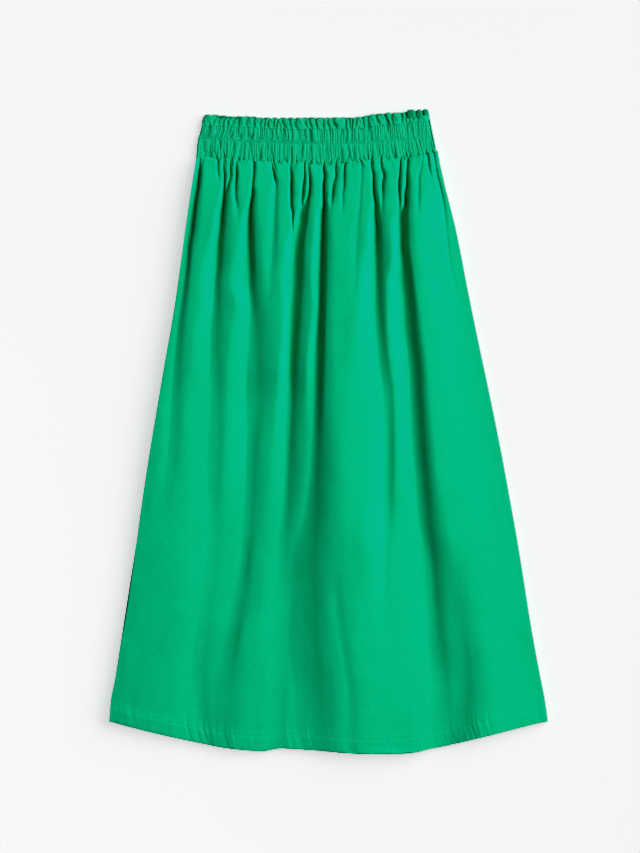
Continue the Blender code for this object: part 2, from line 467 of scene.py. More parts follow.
fold("right_mid", extra="core", rows="""
374 58 0.5 4 3 4.3 0.55
355 59 0.5 5 4 5.8 0.55
344 61.3 0.5 6 4 9.9 0.55
332 61.3 0.8 7 4 12 0.55
319 62.3 1 8 5 12 0.55
305 64.3 1 14 6 12 0.55
292 64.5 1.2 21 10 13 0.5
271 67.5 2 19 13 15 0.55
251 67 2.5 24 14 14.5 0.4
228 67.6 4 28 18 13 0.25
204 68.5 5 32 22 12 0.28
170 70.5 8 38 24 10.5 0.34
136 74 10 42 28 10 0.38
89 80 12 40 40 9.6 0.34
42 86 12 34 50 9.8 0.3
-12 87 12 26 52 8.8 0.32
-66 86 12 28 50 7.8 0.23
-120 84 8 32 44 5.4 0.07
-174 80 6 30 20 2.1 0.14
-228 80 6 30 20 1.4 0.14
-290 80 6 30 20 0 0.14
""")
fold("right_mid_spur", """
372 71 0.5 4 3 3.6
355 72 0.5 5 3 5.8
344 75.3 0.5 7 4 9
332 73.3 0.8 9 4 8.5
319 73.3 0.8 10 4 5.5
305 73.3 2 11 4 1.4
288 75.3 3 12 4 0
265 77.3 1 14 5 0
""")
fold("right_spur_low", """
372 98 0.5 4 3 3.6
355 97 0.5 4 3 5.8
344 96.3 0.5 5 3 9.5
332 95.3 0.5 5 4 10
305 96.3 0.8 7 4 4.5
292 96.3 1 8 5 3
275 96.3 1 8 6 0
""")
fold("right_front", extra="core", rows="""
374 108 0.5 4 3 4.3 0.55
355 107 0.8 5 4 6.1 0.55
344 106.3 0.5 7 4 9.5 0.55
332 106.3 0.6 8 4 13 0.55
319 104.5 1 10 5 14 0.55
305 106 3 12 5 13 0.55
292 104 5.5 14 10 16 0.55
271 104.2 5.5 18 13 17 0.55
251 103.2 4 22 13 17 0.55
228 106.7 6 24 15 17 0.55
204 109.5 9 27 22 17 0.55
170 113.5 11 31 24 17 0.55
136 115.5 12 44 27 17 0.62
89 121 12 50 32 17 0.66
42 124 13 54 34 17 0.68
-12 127.5 14 62 46 16.8 0.72
-66 132 14 70 58 16.4 0.7
-120 136 14 92 70 17.4 0.62
-174 143 13 92 82 17.6 0.42
-228 147 13 90 90 15.8 0.34
-282 153 18 80 96 13.4 0.2
-323 160 22 62 96 11.4 0.1
-363 164 26 44 96 8 0.1
-420 168 30 40 96 6 0.1
""")
fold("right_fork", extra="step", rows="""
-150 172 14 36 20 0 0
-228 178 16 40 20 4 4
-282 186 18 42 40 5.4 5.4
-323 191 16 44 40 7.4 7
-363 190 18 50 40 9.6 8
-420 184 20 60 40 10 8.2
""")
fold("low_centre", """
-190 14 6 24 16 0
-228 16 6 24 16 1.1
-282 24 8 26 18 1.1
-323 30 8 26 18 1.2
-363 34 8 26 18 1.1
-424 36 8 26 18 0.9
""")
fold("right_soft", """
372 127 0.5 4 3 1.1
355 125 0.5 5 3 1.4
344 122.3 1 8 4 1.7
319 122.3 1.5 9 6 2
305 122.3 2 9 6 1.5
285 123.3 2 9 6 0
""")
fold("right_nick", """
378 134 0.3 3 3 3.6
355 136 0.5 4 3 4.7
344 138.3 0.5 4 3 1.5
332 139.3 0.5 4 3 0.8
318 139.3 0.5 4 3 0
""")
fold("side_right", """
378 142 0.3 3 2 2.2
344 147.3 0.5 4 3 3.3
332 150.3 0.6 5 4 3.1
305 156.3 1 5 5 2.1
271 160.3 1.5 5 6 1
228 165 2 6 6 0.8
190 175 2 6 6 0.4
160 182 2 6 6 0
""")

# The height of the lay at its ridges, down the panel, and where the two sides fall away.
LAY = table("""
down height left_fall left_reach right_fall right_reach
0 4.6 0 10 0 8
0.002 6.4 0 10 0.1 8
0.0045 9.6 0 11 0.2 9
0.012 11.6 0 12 0.5 10
0.03 14.4 1.6 14 2 16
0.06 17.8 3.4 14 4 30
0.12 20.5 5 14 8.5 55
0.25 20.5 4.5 20 12 90
0.4 20.5 3.6 36 14.5 120
0.55 21 5.4 62 15 140
0.7 22 7.2 84 14.5 150
0.85 22.8 8.4 96 13.5 160
1 22.4 8.6 100 12 160
""")
FRONT_OUTSET = 1.4  # of the side edges, past the tables above
BACK_OUTSET = 0.9
EDGE_RADII = (0.5, 1.2)  # of the rolled side edges, left and right
EDGE_FOOT = BACK_TOP + 0.35  # where the front meets the back at the side seams
PANEL_LENGTH = 790  # about
HEM_DEPTH = 21
HEM_STEP = 0.3  # how far the turned-up hem stands above the cloth beside it
HEM_GROOVE = 1.6  # width of the dent that the hem's stitching makes
HEM_STITCHES = 1 - HEM_DEPTH / PANEL_LENGTH  # their share of the way down a panel
CORE_SHARE = 0.55  # of a narrow fold's depth that is in its core crease
CORE_WIDTH = 0.3  # of the fold's rise
CROWD = 2.2  # how strongly the columns crowd towards a fold

wander = Noise(11)
crinkle = Noise(23)


def seam_pads(seed, pitch, place, end):
    """The small gathers under the waist seam: centre, half width, rise, lean and length."""
    random = np.random.RandomState(seed)
    pads = []
    while place < end:
        girth = pitch * random.uniform(0.6, 1.6)
        rise = random.uniform(0.8, 2.0)
        lean = random.uniform(-1.5, 1.5)
        length = random.choice((4, 6, 9, 14, 22))
        pads.append((place + girth / 2, 0.66 * girth, rise, lean, length))
        place += girth
    return pads


SEAM_PADS = seam_pads(seed=29, pitch=4.6, place=-178, end=148)

# Pinched spots on the waist seam: how deep and how wide they are, how far they lean to the
# right for each millimetre up, and how far they run up the waistband and down the panel.
PITS = table("""
x depth half lean up down
-168 2 1.4 0.3 4 12
-151 2.6 1.3 -0.3 5 5
-140 3.2 1.2 -0.2 7 6
-130.6 3.2 1.2 -0.1 3 7
-121 3.6 1.4 -0.3 5 5
-115.8 3.2 1.1 0.2 3 5
-102 2.8 1.1 0.1 5 7
-97 3.4 1.1 0.9 3 3
-92.6 2.6 1 -0.8 3 4
-82 2.8 1.1 -0.5 3 7
-74 3.4 1.3 -0.2 8 9
-68.3 2.6 1 0.6 4 4
-56.2 2.8 1 -0.5 6 6
-50.2 3.2 1.1 0 5 8
-44 2.2 0.9 0.7 3 3
-32.5 3.8 1.4 0.1 5 3
-26.5 3.8 1.2 0.7 5 4
-13.7 2.8 1.1 -0.7 4 6
-6.1 3.8 1.4 0.1 4 9
0.5 2.6 1 0.8 7 6
10.4 3 1.2 0.1 7 6
17 1.8 0.9 -0.4 3 4
23.5 3.2 1.2 0.4 9 8
32 2.6 1 0.2 9 5
43 3.2 1.2 -0.4 4 8
50 2.4 1 -0.5 3 5
57.9 3.2 1.1 0.2 3 8
71 3.6 1.2 0.2 5 6
78.8 2.6 1 0.9 3 3
89.8 2.8 1.1 -0.6 3 4
97.5 3.4 1.2 0.3 4 7
102.5 2.4 0.9 -0.2 3 3
108.5 3.4 1.2 0.5 4 6
119.6 2.8 1.1 0.5 4 4
131.7 3.6 1.3 0 4 9
140.5 2.6 1.1 -0.1 3 8
""")


def pinched(x, above):
    """How deep the seam's pinched spots go at heights above the seam."""
    depth = np.zeros_like(x)
    for place, most, half, lean, up, down in zip(*PITS.values()):
        width = half * (1 + 0.05 * np.abs(above))
        share = np.clip(1 - np.abs(x - place - lean * above) / width, 0, 1)
        reach = np.where(above > 0, up, down)
        depth = np.maximum(depth, most * share * hump(above, reach))
    return depth


def valley(distance, from_edge, here):
    """How far a fold lies below the lay, by distance from its steepest line."""
    toe, right, left, depth = (here[name] for name in ("toe", "right", "left", "depth"))
    step, core = here["step"], here["core"]
    # From the foot a parabola comes up to the rise, and meets it in height and in slope.
    curl = 2.6
    rate = curl * (core / CORE_WIDTH + 1 - core) / right
    meeting = 1 / (1 + rate * toe / 2)
    from_foot = distance + toe
    hollow = 1 - meeting * rate * from_foot**2 / (2 * toe)
    along = 1 - np.clip(distance / right, 0, 1)
    crease = 1 - np.clip(distance / (CORE_WIDTH * right), 0, 1)
    rise = meeting * (core * crease**curl + (1 - core) * along**curl)
    # Left of the foot it falls from the last crest, and the step fades towards the side.
    fall = rounded_end(1 + from_foot / left) ** np.clip(1 + 8 / left, 1.1, 2.5)
    behind = np.clip(from_edge / np.maximum(from_edge - from_foot, 1), 0, 1)
    before = (depth - step) * fall + step * behind
    return np.where(from_foot < 0, before, depth * np.where(distance < 0, hollow, rise))


def rounded_end(share):
    """A share that runs down to zero with a rounded end in place of a corner."""
    knee = 0.15
    share = 0.5 * (share + np.sqrt(share**2 + knee**2))
    return np.clip(share / (0.5 * (1 + math.hypot(1, knee))), 0, 1)


def fold_at(rows, y):
    """A fold's columns read at heights y, with no depth past its ends."""
    heights = rows["y"][::-1]
    found = {
        name: smooth_curve(heights, rows[name][::-1], y) for name in rows if name != "y"
    }
    slack = 12
    inside = (y >= heights[0] - slack) & (y <= heights[-1] + slack)
    found["depth"] = np.where(inside, found["depth"], 0)
    found.setdefault("step", np.zeros_like(found["depth"]))
    found.setdefault("core", CORE_SHARE * ease((36 - found["right"]) / 18))
    return found


def crowded_columns(left, right, y, count):
    """x of the columns along one row, closer together where folds are deep."""
    fine = np.linspace(left, right, 1600)
    density = np.ones_like(fine)
    for rows in FOLDS.values():
        here = fold_at(rows, np.array(y))
        if here["depth"] > 0.3:
            spread = 0.5 * (here["left"] + here["right"])
            gain = CROWD * min(1, here["depth"] / 8) * min(1, 10 / spread)
            density += gain * hump(fine - here["x"], 0.6 * spread)
    for edge in (left, right):
        density += 2.0 * hump(fine - edge, 5)
    total = running_total((density[1:] + density[:-1]) / 2)
    return np.interp(np.linspace(0, 1, count), total / total[-1], fine)


def rows_down(count):
    """Shares down a panel, crowded below the gathers, with the hem's stitching on a row."""
    body = np.linspace(0, 1, count) ** 1.7 * HEM_STITCHES
    in_hem = np.array([0.05, 0.14, 0.3, 0.5, 0.7, 0.86, 0.95, 1.0])
    return np.concatenate([body, HEM_STITCHES + (1 - HEM_STITCHES) * in_hem])


def panel_grid(columns, downs, outset):
    """x, y, share across and share down at every point of a front panel's grid."""
    lefts, rights = panel_ends(downs, outset)
    middle = blend((read(WAIST, "seam", 0.5), read(HEM, "y", 0.5)), downs)
    x = np.array([crowded_columns(*ends, columns) for ends in zip(lefts, rights, middle)])
    across = (x - lefts[:, None]) / (rights - lefts)[:, None]
    down = np.repeat(downs[:, None], columns, 1)
    top = read(WAIST, "seam", across) + TUCK
    y = blend((top, read(HEM, "y", across)), down)
    return x, y, across, down


def seam_waver(across):
    """How far the seam between the waistband and the front panel strays from its line."""
    return 2.0 * wander(across * 44, 17.7) + 0.9 * wander(across * 110, 29.1)


def front_surface(x, y, across, down):
    """The height of the front panel's outer face."""
    # The lay of the cloth, which falls away to both sides.
    left, right = x[:, :1], x[:, -1:]
    strayed = down + seam_waver(across) / PANEL_LENGTH * np.exp(-down * PANEL_LENGTH / 9)
    z = read(LAY, "height", np.clip(strayed, 0, 1))
    from_left = np.clip((x - left) / read(LAY, "left_reach", down), 0, 1)
    z -= read(LAY, "left_fall", down) * (1 - from_left) ** 1.8
    z -= read(LAY, "right_fall", down) * ease(1 - (right - x) / read(LAY, "right_reach", down))
    # The folds, the gathers and pinches under the seam, and a fine unevenness all over.
    for rows in FOLDS.values():
        here = fold_at(rows, y)
        z -= valley(x - here["x"], x - left, here)
    seam = read(WAIST, "seam", across)
    z += puckers(x, seam - y) - 0.85 * pinched(x, y - seam)
    z += 0.16 * crinkle(x / 17, y / 60) + 0.10 * crinkle(x / 7 + 9, y / 22)
    z += 0.25 * wander(x / 40 + 3, y / 90)
    z = PANEL_FLOOR + softened(z - PANEL_FLOOR)
    # The turned-up hem: its step, the dent and pulls of its stitching, and its rolled end.
    above = y - (read(HEM, "y", across) + HEM_DEPTH)
    z += HEM_STEP * ease(-above / 2.5)
    z -= 0.3 * hump(above, HEM_GROOVE)
    z += hem_puckers(x, above)
    z -= 0.7 * ease(1 - (above + HEM_DEPTH) / 1.8)
    for distance, radius in ((x - left, EDGE_RADII[0]), (right - x, EDGE_RADII[1])):
        z = EDGE_FOOT + (z - EDGE_FOOT) * rounded(distance / radius)
    return z


def rounded(distance):
    """A quarter circle, from 0 at an edge to 1 at a distance of 1 and beyond."""
    return np.sqrt(1 - np.clip(1 - distance, 0, 1) ** 2)


def softened(height):
    """Height kept above zero, with a soft landing."""
    knee = 1.2
    return 0.5 * (height + np.sqrt(height**2 + knee**2)) - 0.1 * knee


def puckers(x, below):
    """Small gathers under the waist seam, each with its own length."""
    height = np.zeros_like(x)
    for centre, half, rise, lean, length in SEAM_PADS:
        down = np.clip(below / length, 0, 1)
        away = np.abs(x - (centre + lean * down))
        share = np.clip(away / (half * (1 + 0.4 * down)), 0, 1)
        height = np.maximum(height, rise * (1 - down) * np.sqrt(1 - share**2))
    return height


# Where the hem's stitching pulls the cloth into drag lines, and how deep they are.
HEM_PULLS = table("""
left right depth
-286 -258 0.4
-198 -122 0.55
-62 -22 0.52
-8 6 0.3
66 92 0.28
160 224 0.55
250 272 0.3
""")


def hem_puckers(x, above):
    """Drag lines at heights above the hem's stitching, in clusters, faint in between."""
    depth = 0.16
    for left, right, most in zip(*HEM_PULLS.values()):
        depth = np.maximum(depth, most * ease((x - left) / 7) * ease((right - x) / 7))
    reach = ease(1 - above / 11) * (0.75 + 0.25 * ease(-above / 6))
    slanted = x + 0.3 * above
    lines = wander(slanted / 2.6, 12.1 + above / 30) + 0.6 * wander(slanted / 1.5, 40.3)
    return depth * reach * lines


# -------- meshes


def grid_points(x, y, z):
    """Points from their coordinates, each an array or one number for them all."""
    return np.stack(np.broadcast_arrays(x, y, z), axis=-1)


def cloth_piece(name, points, material, ring=False):
    """A piece over a grid of points, rows by columns, with a cloth map in metres.

    With ring, the last row joins the first, and a face closes each end.
    """
    rows, columns = points.shape[:2]
    index = np.arange(rows * columns).reshape(rows, columns)
    ends = [index[::-1, 0], index[:, -1]] if ring else []
    if ring:
        index = np.concatenate([index, index[:1]])
    corners_of_quads = (index[:-1, :-1], index[1:, :-1], index[1:, 1:], index[:-1, 1:])
    quads = np.stack(corners_of_quads, axis=-1).reshape(-1, 4)
    corners = np.concatenate([quads.ravel(), *ends])
    starts = np.concatenate(
        [np.arange(len(quads)) * 4, quads.size + rows * np.arange(len(ends))]
    )
    mesh = bpy.data.meshes.new(name)
    mesh.vertices.add(rows * columns)
    mesh.vertices.foreach_set("co", (points.reshape(-1, 3) * MM).astype(np.float32).ravel())
    mesh.loops.add(len(corners))
    mesh.loops.foreach_set("vertex_index", corners.astype(np.int32))
    mesh.polygons.add(len(starts))
    mesh.polygons.foreach_set("loop_start", starts.astype(np.int32))
    mesh.update(calc_edges=True)
    mesh.validate()
    return add_piece(name, mesh, material, cloth_lengths(points))


def cloth_lengths(points):
    """Cloth coordinates of a grid: lengths along its rows and its columns, in metres."""
    along = np.linalg.norm(np.diff(points, axis=1), axis=-1)
    down = np.linalg.norm(np.diff(points, axis=0), axis=-1)
    u = running_total(along, 1)
    u -= u[:, -1:] / 2
    return np.stack([u, running_total(down, 0)], axis=-1).reshape(-1, 2) * MM


def add_piece(name, mesh, material, coordinates):
    """A smooth object from a mesh, with its vertices' cloth coordinates in a map."""
    layer = mesh.uv_layers.new(name="cloth")
    corners = np.empty(len(mesh.loops), np.int32)
    mesh.loops.foreach_get("vertex_index", corners)
    layer.data.foreach_set("uv", coordinates[corners].astype(np.float32).ravel())
    mesh.shade_smooth()
    mesh.materials.append(material)
    return add_object(name, mesh)


def add_object(name, data):
    item = bpy.data.objects.new(name, data)
    bpy.context.scene.collection.objects.link(item)
    return item


# -------- panels

PANEL_COLUMNS = 420
PANEL_ROWS = 104
BACK_COLUMNS = 330
BACK_ROWS = 110
BACK_UNDER = 0.25  # the back's outer face above the surface that it lies on
BACK_CREASE = 1.3
BACK_WALL = 0.4  # the least that a crease leaves of the back's thickness
BACK_HEM = 0.6  # how far the back's hem stays inside the front's
BACK_EDGE = 2.5  # how far in from the back's side edges it lifts towards the front
BACK_STITCH = 0.3  # the middle of the back's stitches above the surface that it lies on


def front_panel(material):
    grid = panel_grid(PANEL_COLUMNS, rows_down(PANEL_ROWS), FRONT_OUTSET)
    points = grid_points(*grid[:2], front_surface(*grid))
    piece = cloth_piece("front_panel_cloth", points, material)
    wall = piece.modifiers.new("cloth", "SOLIDIFY")
    wall.thickness = CLOTH * MM
    wall.offset = -1
    return piece


def back_creases(x, y, down):
    """The front's folds as the back has them: in other places, and pressed nearly flat."""
    mirrored = 16 * down - 0.97 * x
    depth = np.zeros_like(x)
    for rows in FOLDS.values():
        here = fold_at(rows, y)
        depth += valley(mirrored - here["x"], mirrored + 300, here)
    return BACK_CREASE * (1 - np.exp(-depth / 8)) + 0.08 * crinkle(x / 15 + 5, y / 40)


def back_panel(material):
    """The back rests flat: its folds are pressed into shallow creases on its outer side."""
    downs = rows_down(BACK_ROWS)
    across, down = np.meshgrid(np.linspace(0, 1, BACK_COLUMNS), downs)
    left, right = (edge[:, None] for edge in panel_ends(downs, BACK_OUTSET))
    x = blend((left, right), across)
    hem = read(HEM, "y", across)
    y = blend((read(WAIST, "seam", across) - SEAM_GAP, hem + BACK_HEM), down)
    above = y - (hem + HEM_DEPTH)
    outer = BACK_UNDER + back_creases(x, y, down)
    outer += 0.2 * hump(above, HEM_GROOVE) - 0.3 * hem_puckers(-x, above)
    lift = np.clip(1 - np.minimum(x - left, right - x) / BACK_EDGE, 0, 1) ** 2
    outer = np.clip(outer, 0.05, BACK_TOP - BACK_WALL) + 0.9 * lift
    inner = grid_points(x, y, BACK_TOP + 0.3 * lift)
    ring = np.concatenate([inner, grid_points(x, y, outer)[::-1]])
    return cloth_piece("back_panel_cloth", ring, material, ring=True)


# -------- gathers

# A pad is a small roll of gathered cloth between two stitch lines. Lengths along the waist
# are millimetres from its left end, and places between two lines run from 0 to 1.
GIRTHS = (0.5, 0.7, 0.9, 1.15, 1.5, 2.2)  # of the pads, in pitches
GIRTH_ODDS = (0.20, 0.28, 0.26, 0.16, 0.07, 0.03)


def row_of_pads(seed, pitch, rise, forks):
    """Pads of uneven girth side by side, a share of which, the forks, stop part of the way.

    Each is its centre, half width, rise, lean, bow, start and end.
    """
    random = np.random.RandomState(seed)
    sway = Noise(seed + 1)
    pads = []
    place = -pitch
    while place < BAND_LENGTH + pitch:
        girth = pitch * random.choice(GIRTHS, p=GIRTH_ODDS)
        start, end = -0.7, 1.7
        if random.rand() < forks:
            if random.rand() < 0.5:
                end = random.uniform(0.7, 1.1)
            else:
                start = random.uniform(-0.1, 0.3)
        high = rise * (girth / pitch) ** 0.35 * random.uniform(0.75, 1.25)
        lean = 2.2 * sway(place / 26, 4.3) + random.uniform(-1, 1)
        bow = random.uniform(-0.4, 0.4)
        pads.append((place + girth / 2, 0.6 * girth + 0.15, high, lean, bow, start, end))
        place += girth
    return pads


def swell(between, hold):
    """How far the gathers swell between two stitch lines, which hold them to two shares."""
    keep = blend(hold, between)
    return keep + (1 - keep) * np.sin(np.pi * np.clip(between, 0, 1)) ** 0.7


def gathered(along, between, pads, hold):
    """The height of a row of pads: round backs that meet in sharp valleys.

    hold has the shares of their height that they keep at the two stitch lines.
    """
    height = np.zeros_like(along)
    swollen = swell(between, hold)
    for middle, half, rise, lean, bow, start, end in pads:
        opening = np.clip((between - start) / 0.5, 0, 1)
        reach = opening * np.clip((end - between) / 0.5, 0, 1)
        centre = middle + lean * (between - 0.5) + bow * np.sin(np.pi * between)
        width = half * (0.55 + 0.45 * reach)
        share = np.clip(np.abs(along - centre) / width, 0, 1)
        height = np.maximum(height, rise * swollen * np.sqrt(reach) * np.sqrt(1 - share**2.6))
    return height


# -------- waistband

BAND_COLUMNS = 900
BAND_ROWS = 54
BAND_WALL = 4.0  # the band's height above its underside where nothing raises or sinks it
BAND_LENGTH = 322.0
OVERLAP = 0.07  # how far the band and the frill run into each other, as a share of a channel
SEAM_OVERLAP = 0.05  # how far the band runs over the panel, in the same way
PLAIN = (1, 1)  # the hold of pads that no stitch line flattens
UPPER_HOLD = (0.9, 0.35)
LOWER_HOLD = (0.4, 0.9)
UPPER_PADS = row_of_pads(seed=41, pitch=3.7, rise=2.3, forks=0.2)
LOWER_PADS = row_of_pads(seed=57, pitch=4.2, rise=2.0, forks=0.3)
MIDDLE_PADS = row_of_pads(seed=83, pitch=2.4, rise=0.8, forks=0)
pleat_noise = Noise(5)


def band_surface(across, line):
    """Height of the front waistband above its underside, between its three stitch lines."""
    upper = line < MIDDLE_LINE
    between = np.where(upper, line - TOP_LINE, line - MIDDLE_LINE)
    along = across * BAND_LENGTH + 0.5 * pleat_noise(across * 90, line * 2.3)
    raised = np.where(
        upper,
        gathered(along, between, UPPER_PADS, UPPER_HOLD),
        gathered(along, between, LOWER_PADS, LOWER_HOLD),
    )
    # At the middle stitching finer pads take over.
    near_middle = hump(line - MIDDLE_LINE, 0.13)
    fine = gathered(along, 0 * line, MIDDLE_PADS, PLAIN)
    raised = np.maximum(raised * (1 - 0.6 * near_middle), fine * near_middle)
    held = np.where(upper, swell(between, UPPER_HOLD), swell(between, LOWER_HOLD))
    sunk = 1.5 * held * (1 - 0.6 * near_middle)
    sunk = sunk + pinched(waist_point(across, line)[0], CHANNEL * (SEAM_LINE - line))
    tucked = 1.2 * ease((1.04 - line) / 0.1) + 0.4 * hump(line - MIDDLE_LINE, 0.07)
    rough = 0.12 * pleat_noise(across * 260, line * 9)
    return BAND_WALL + raised - sunk - tucked + rough


def closed_below(points, under):
    """A grid with two more rows, at a height under its last and its first."""
    feet = points[[-1, 0]].copy()
    feet[..., 2] = under
    return np.concatenate([points, feet])


def front_band(material):
    shares = np.linspace(0, 1, BAND_COLUMNS)
    lines = np.linspace(TOP_LINE - OVERLAP, SEAM_LINE + SEAM_OVERLAP, BAND_ROWS)
    across, line = np.meshgrid(shares, lines)
    x, y = waist_point(across, line)
    z = BAND_UNDER + band_surface(across, line)
    y += seam_waver(across) * ease((line - 2.6) / 0.4)
    # A dark crease runs down beside the right-hand end, and both ends are rolled.
    from_left, from_right = across * BAND_LENGTH, (1 - across) * BAND_LENGTH
    z -= 3.2 * hump(from_right - 1.7, 0.7) * ease((2.9 - line) / 0.3)
    radius = np.where(across < 0.5, 3.0, 0.9)
    foot = BAND_UNDER + 0.2
    z = foot + (z - foot) * rounded(np.minimum(from_left, from_right) / radius)
    ring = closed_below(grid_points(x, y, z), BAND_UNDER)
    return cloth_piece("front_band_cloth", ring, material, ring=True)


def back_band(material):
    across, line = np.meshgrid(np.linspace(0, 1, 240), np.linspace(TOP_LINE, SEAM_LINE, 12))
    x, y = waist_point(across, line)
    y = np.where(line == TOP_LINE, y - SEAM_GAP, y)
    ring = closed_below(grid_points(x, y, BAND_BACK_TOP), 0.1)
    return cloth_piece("back_band_cloth", ring, material, ring=True)


# -------- frill

# The front frill's lobes, each from one dark crease to the next. x is the crease, half way
# up the frill; lean is how far its top is right of its foot; rise is the height of the lobe
# after it; tip is how much its free edge stands up; bulge lengthens it past the free edge.
RUFFLES = table("""
x lean rise tip bulge
-168.5 -0.8 2.8 0.2 0.8
-152.6 1.8 1.8 0.2 -3.4
-146.5 -2.2 1.8 0.4 -3
-140 1.2 2 0.4 -1.4
-133.9 -1.6 2.2 0.2 -1.6
-127.8 1.6 1.6 0.4 -3.2
-120.3 -1.6 2.8 0.6 0.5
-110.1 1.4 2.4 0.2 0.3
-99.3 -2 2.6 0.6 0.8
-91.4 -1.8 1.8 0.4 -1.4
-85.3 -1.8 2.2 1 -0.2
-81.2 1 2.9 0.2 0.2
-72.9 -1.6 2.3 1 0.6
-69.5 1.2 3 -0.2 -0.4
-60 -8.2 2.4 0.6 -1
-51.6 -3 1.9 0.6 -0.8
-45.2 1.8 3.4 0 0.9
-30.4 -2.4 1.8 0.8 -1.2
-24.2 -4.8 2.4 0.2 -0.8
-16.9 -2.4 3 0.4 0.3
-7.4 -1 2.2 0.4 -0.9
-0.9 -1 2.2 0.8 -1.1
7.2 -3.6 3.6 -0.4 0.7
22.6 1.4 2 0.8 -1.2
28.6 -1.8 2.4 0.4 -0.6
31.4 -1 2.8 0.2 0.2
35.9 1 2.6 0.4 0
46.4 -2.2 2 0.4 -0.8
52 0.6 3 -0.2 -0.2
64.4 -3 2.6 0.2 -1.8
77.9 -5 3.2 0.4 1.6
83.4 1.8 3.6 -0.2 1
97.6 1.5 2.2 0.6 -1
102.2 2 1.6 -0.4 -6.5
107.4 1 1.6 0.2 -5.5
112.5 2 1.8 0 -6
117.7 2.6 2.4 -0.2 -3.6
134.5 0.5 2 0 -2
""")
RUFFLES["curl"] = np.full_like(RUFFLES["x"], 4)  # the power that the free edge turns up with
FRILL_WALL = 0.8
FRILL_UPS = (0, 0.1, 0.22, 0.35, 0.48, 0.6, 0.7, 0.8, 0.88, 0.95, 0.985, 1)
frill_noise = Noise(3)


def scattered_ruffles(seed, count):
    """Lobes at an uneven pitch across the frill, for the back, which hardly shows."""
    random = np.random.RandomState(seed)
    x = np.linspace(RUFFLES["x"][0], RUFFLES["x"][-1], count + 1)
    inside = ease((x - 96) / 8)  # at the right, where the front frill doesn't hide them
    x[1:-1] += random.uniform(-2, 2, count - 1) * (1 + 1.2 * inside[1:-1])
    return {
        "x": x,
        "lean": random.uniform(-2, 2, count + 1) * (1 + inside),
        "rise": random.uniform(0.7, 1.2, count + 1),
        "tip": random.uniform(4.8, 6.0, count + 1) + 4.4 * inside,
        "bulge": random.uniform(0.7, 1.5, count + 1) + 3.2 * inside,
        "curl": 3 - inside,
    }


BACK_RUFFLES = scattered_ruffles(seed=7, count=30)


def frill(name, material, ruffles, pads, foot, notch, per_lobe):
    """A ruffle: small pads at its stitching open into uneven lobes above dark creases.

    foot is the height of its creases, and notch how far they stop short of the free edge.
    A lobe has per_lobe columns, with t from 0 to 1 across it.
    """
    creases = ruffles["x"]
    lobes = len(creases) - 1
    phase, up = np.meshgrid(np.linspace(0, lobes, lobes * per_lobe + 1), FRILL_UPS)
    lobe = np.clip(np.floor(phase).astype(int), 0, lobes - 1)
    t = phase - lobe
    window = (0.5 - 0.5 * np.cos(2 * np.pi * t)) ** (2.4 - 1.9 * ease(up / 0.6))

    # Across: between two creases that lean and bend, with the cloth crowded beside them.
    lean = ruffles["lean"] * (np.arange(lobes + 1) % lobes > 0)
    bend = 1.1 * frill_noise(np.arange(lobes + 1) * 0.87, 5.5) * (lean != 0)
    ups = np.array(FRILL_UPS)[:, None]
    leaned = creases + lean * (ups - 0.5) + bend * np.sin(2 * np.pi * ups)
    rows = np.arange(len(FRILL_UPS))[:, None]
    start, end = leaned[rows, lobe], leaned[rows, lobe + 1]
    share = t - 0.09 * np.sin(2 * np.pi * t) + 0.085 * up * np.sin(4 * np.pi * t)
    wide = start + (end - start) * share
    across = (wide - creases[0]) / (creases[-1] - creases[0])

    # Up: from inside the band to the free edge, which is uneven and notched at the creases.
    overlap = TOP_LINE + OVERLAP
    x, y = waist_point(np.clip(across, 0, 1), np.clip(overlap - overlap * up, 0, overlap))
    middles = np.arange(lobes) + 0.5
    bulge = np.interp(phase, middles, ruffles["bulge"][:-1])
    y = y + up**2 * (bulge * (0.8 + 0.2 * window) + 0.6 - notch * (1 - window))
    y = y + 0.35 * up * frill_noise(phase * 2.7, 3.3)
    droop = 0.5 + 0.6 * frill_noise(lobe * 0.73, 21.4)
    y = y - droop * window * hump(up - 0.2, 0.14)

    # Height: the lobe, its turned-up edge, the small pads at its foot and a crease along it.
    opened = 0.2 + 0.8 * ease(up / 0.5)
    rolled = np.sqrt(1 - np.clip((up - 0.8) / 0.2, 0, 1) ** 2)
    z = foot + ruffles["rise"][lobe] * window * opened * (0.55 + 0.45 * rolled)
    tip = np.interp(phase, middles, ruffles["tip"][:-1])
    z = z + (0.5 + 0.5 * window) * tip * up ** ruffles["curl"][lobe]
    z = z + gathered(across * BAND_LENGTH, 0 * up, pads, PLAIN) * (1 - ease(up / 0.55))
    z = z + 0.25 * frill_noise(phase * 4.3, up * 5)
    middle = 0.5 + 0.16 * frill_noise(lobe * 0.61, 9.2) - 0.34 * (up - 0.5)
    width = creases[lobe + 1] - creases[lobe]
    crease = 1.1 * np.clip((width - 5) / 4, 0, 1) * ease(up / 0.3) * (1 - 0.7 * up)
    z = z - crease * hump(t - middle, 0.075)

    front = grid_points(x, y, z)
    back = front[::-1].copy()
    back[..., 2] -= FRILL_WALL * np.minimum(1, 12 * (1.04 - up[::-1]))
    return cloth_piece(name, np.concatenate([front, back]), material, ring=True)


# -------- stitches

STITCH_LENGTH = 2.5
STITCH_GAP = 0.9
STITCH_RADIUS = 0.26
STITCH_SIDES = 6
STITCH_WIDTHS = ((0, 0.3), (0.08, 0.85), (0.5, 1), (0.92, 0.85), (1, 0.3))  # by shares along
BAND_STITCHES = {  # on which of the band's lines, and how far above the front's cloth
    "top_stitches": (1.04, 0.25),
    "middle_stitches": (2, 0.15),
    "seam_stitches": (2.96, 0.2),
}


